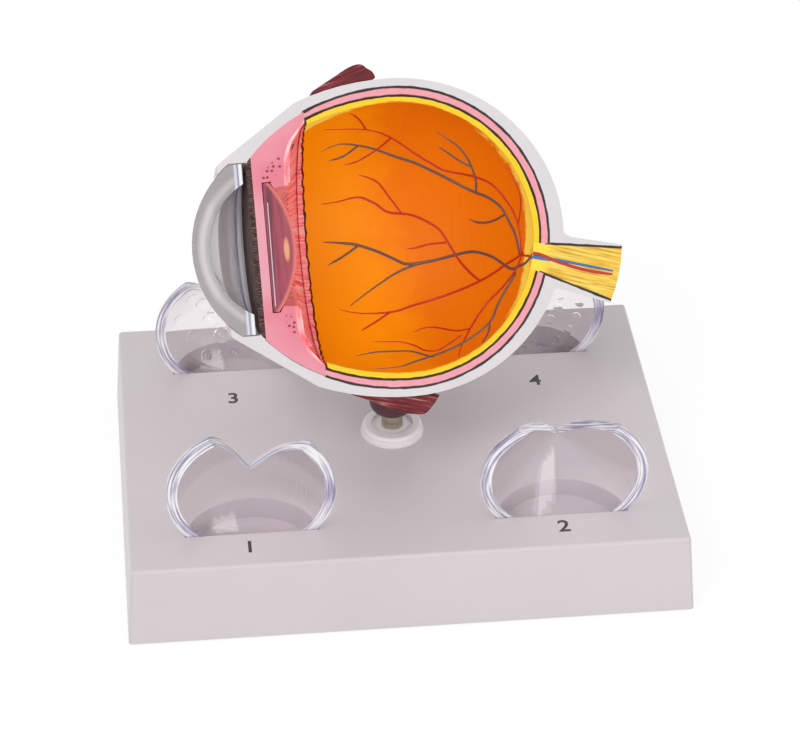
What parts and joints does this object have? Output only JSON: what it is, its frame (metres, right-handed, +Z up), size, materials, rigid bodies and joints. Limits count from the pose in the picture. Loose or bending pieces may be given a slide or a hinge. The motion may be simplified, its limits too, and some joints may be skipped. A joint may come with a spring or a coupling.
{
  "type": "eye anatomy model",
  "caption": "Half eye cut open to show its layers, lens and nerve, turning on a pin above a base with loose clear corneas in pockets.",
  "frame": {"origin": "centre of the base's underside, at the level of the feet", "axes": "+Z up, -Y towards the viewer of the cut face, +X to the viewer's right, towards the optic nerve"},
  "size_m": [0.165, 0.127, 0.1358],
  "materials": {
    "base_white": "gloss moulded plastic",
    "cover_grey": "matt moulded plastic",
    "screw_steel": "zinc-plated steel",
    "foot_rubber": "matt rubber",
    "pin_steel": "nickel-plated steel",
    "stem_maroon": "satin painted plastic",
    "sclera_white": "satin plastic",
    "choroid_pink": "painted satin",
    "retina_orange": "painted, semi-gloss",
    "ciliary_pink": "painted, semi-gloss",
    "process_red": "painted, semi-gloss",
    "iris_brown": "painted",
    "lens_clear": "clear tinted acrylic",
    "nerve_yellow": "painted",
    "artery_red": "enamel line",
    "vein_blue": "enamel line",
    "vein_grey": "enamel line",
    "muscle_red": "painted satin",
    "cornea_clear": "clear acrylic"
  },
  "bodies": {
    "base": {"base_housing": "base_white", "bottom_cover": "cover_grey", "cover_screws": "screw_steel", "foot_front_left": "foot_rubber", "foot_front_right": "foot_rubber", "foot_rear_left": "foot_rubber", "foot_rear_right": "foot_rubber", "socket_ring": "base_white"},
    "pin": {"support_pin": "pin_steel"},
    "eye": {"support_stem": "stem_maroon", "sclera_shell": "sclera_white", "choroid_layer": "choroid_pink", "retina_layer": "retina_orange", "ciliary_body": "ciliary_pink", "ciliary_processes": "process_red", "iris": "iris_brown", "lens": "lens_clear", "optic_nerve": "nerve_yellow", "nerve_artery": "artery_red", "nerve_vein": "vein_blue", "arterial_trunks": "artery_red", "arterial_branches": "artery_red", "venous_trunks": "vein_grey", "venous_branches": "vein_grey", "superior_rectus": "muscle_red", "inferior_rectus": "muscle_red", "lateral_rectus": "muscle_red"},
    "eye_cornea": {"cornea_on_eye": "cornea_clear"},
    "normal_cornea": {"normal_cornea": "cornea_clear"},
    "conical_cornea": {"conical_cornea": "cornea_clear"},
    "blistered_cornea": {"blistered_cornea": "cornea_clear"},
    "dimpled_cornea": {"dimpled_cornea": "cornea_clear"}
  },
  "joints": [
    {"name": "eye_turn", "type": "hinge", "parent": "base", "child": "pin", "pos_m": [0, 0, 0.0254], "axis": [0, 0, 1], "continuous": true},
    {"name": "eye_lift", "type": "slide", "parent": "pin", "child": "eye", "axis": [0, 0, 1], "range_m": [0, 0.016]},
    {"name": "eye_cornea_out", "type": "slide", "parent": "eye", "child": "eye_cornea", "axis": [0.0714, -0.816, 0.5736], "range_m": [0, 0.028]},
    {"name": "normal_cornea_lift", "type": "slide", "parent": "base", "child": "normal_cornea", "axis": [0, -0.0958, 0.9954], "range_m": [0, 0.012]},
    {"name": "conical_cornea_lift", "type": "slide", "parent": "base", "child": "conical_cornea", "axis": [0, -0.1564, 0.9877], "range_m": [0, 0.012]},
    {"name": "blistered_cornea_lift", "type": "slide", "parent": "base", "child": "blistered_cornea", "axis": [0, -0.0958, 0.9954], "range_m": [0, 0.012]},
    {"name": "dimpled_cornea_lift", "type": "slide", "parent": "base", "child": "dimpled_cornea", "axis": [0, -0.0958, 0.9954], "range_m": [0, 0.012]}
  ]
}
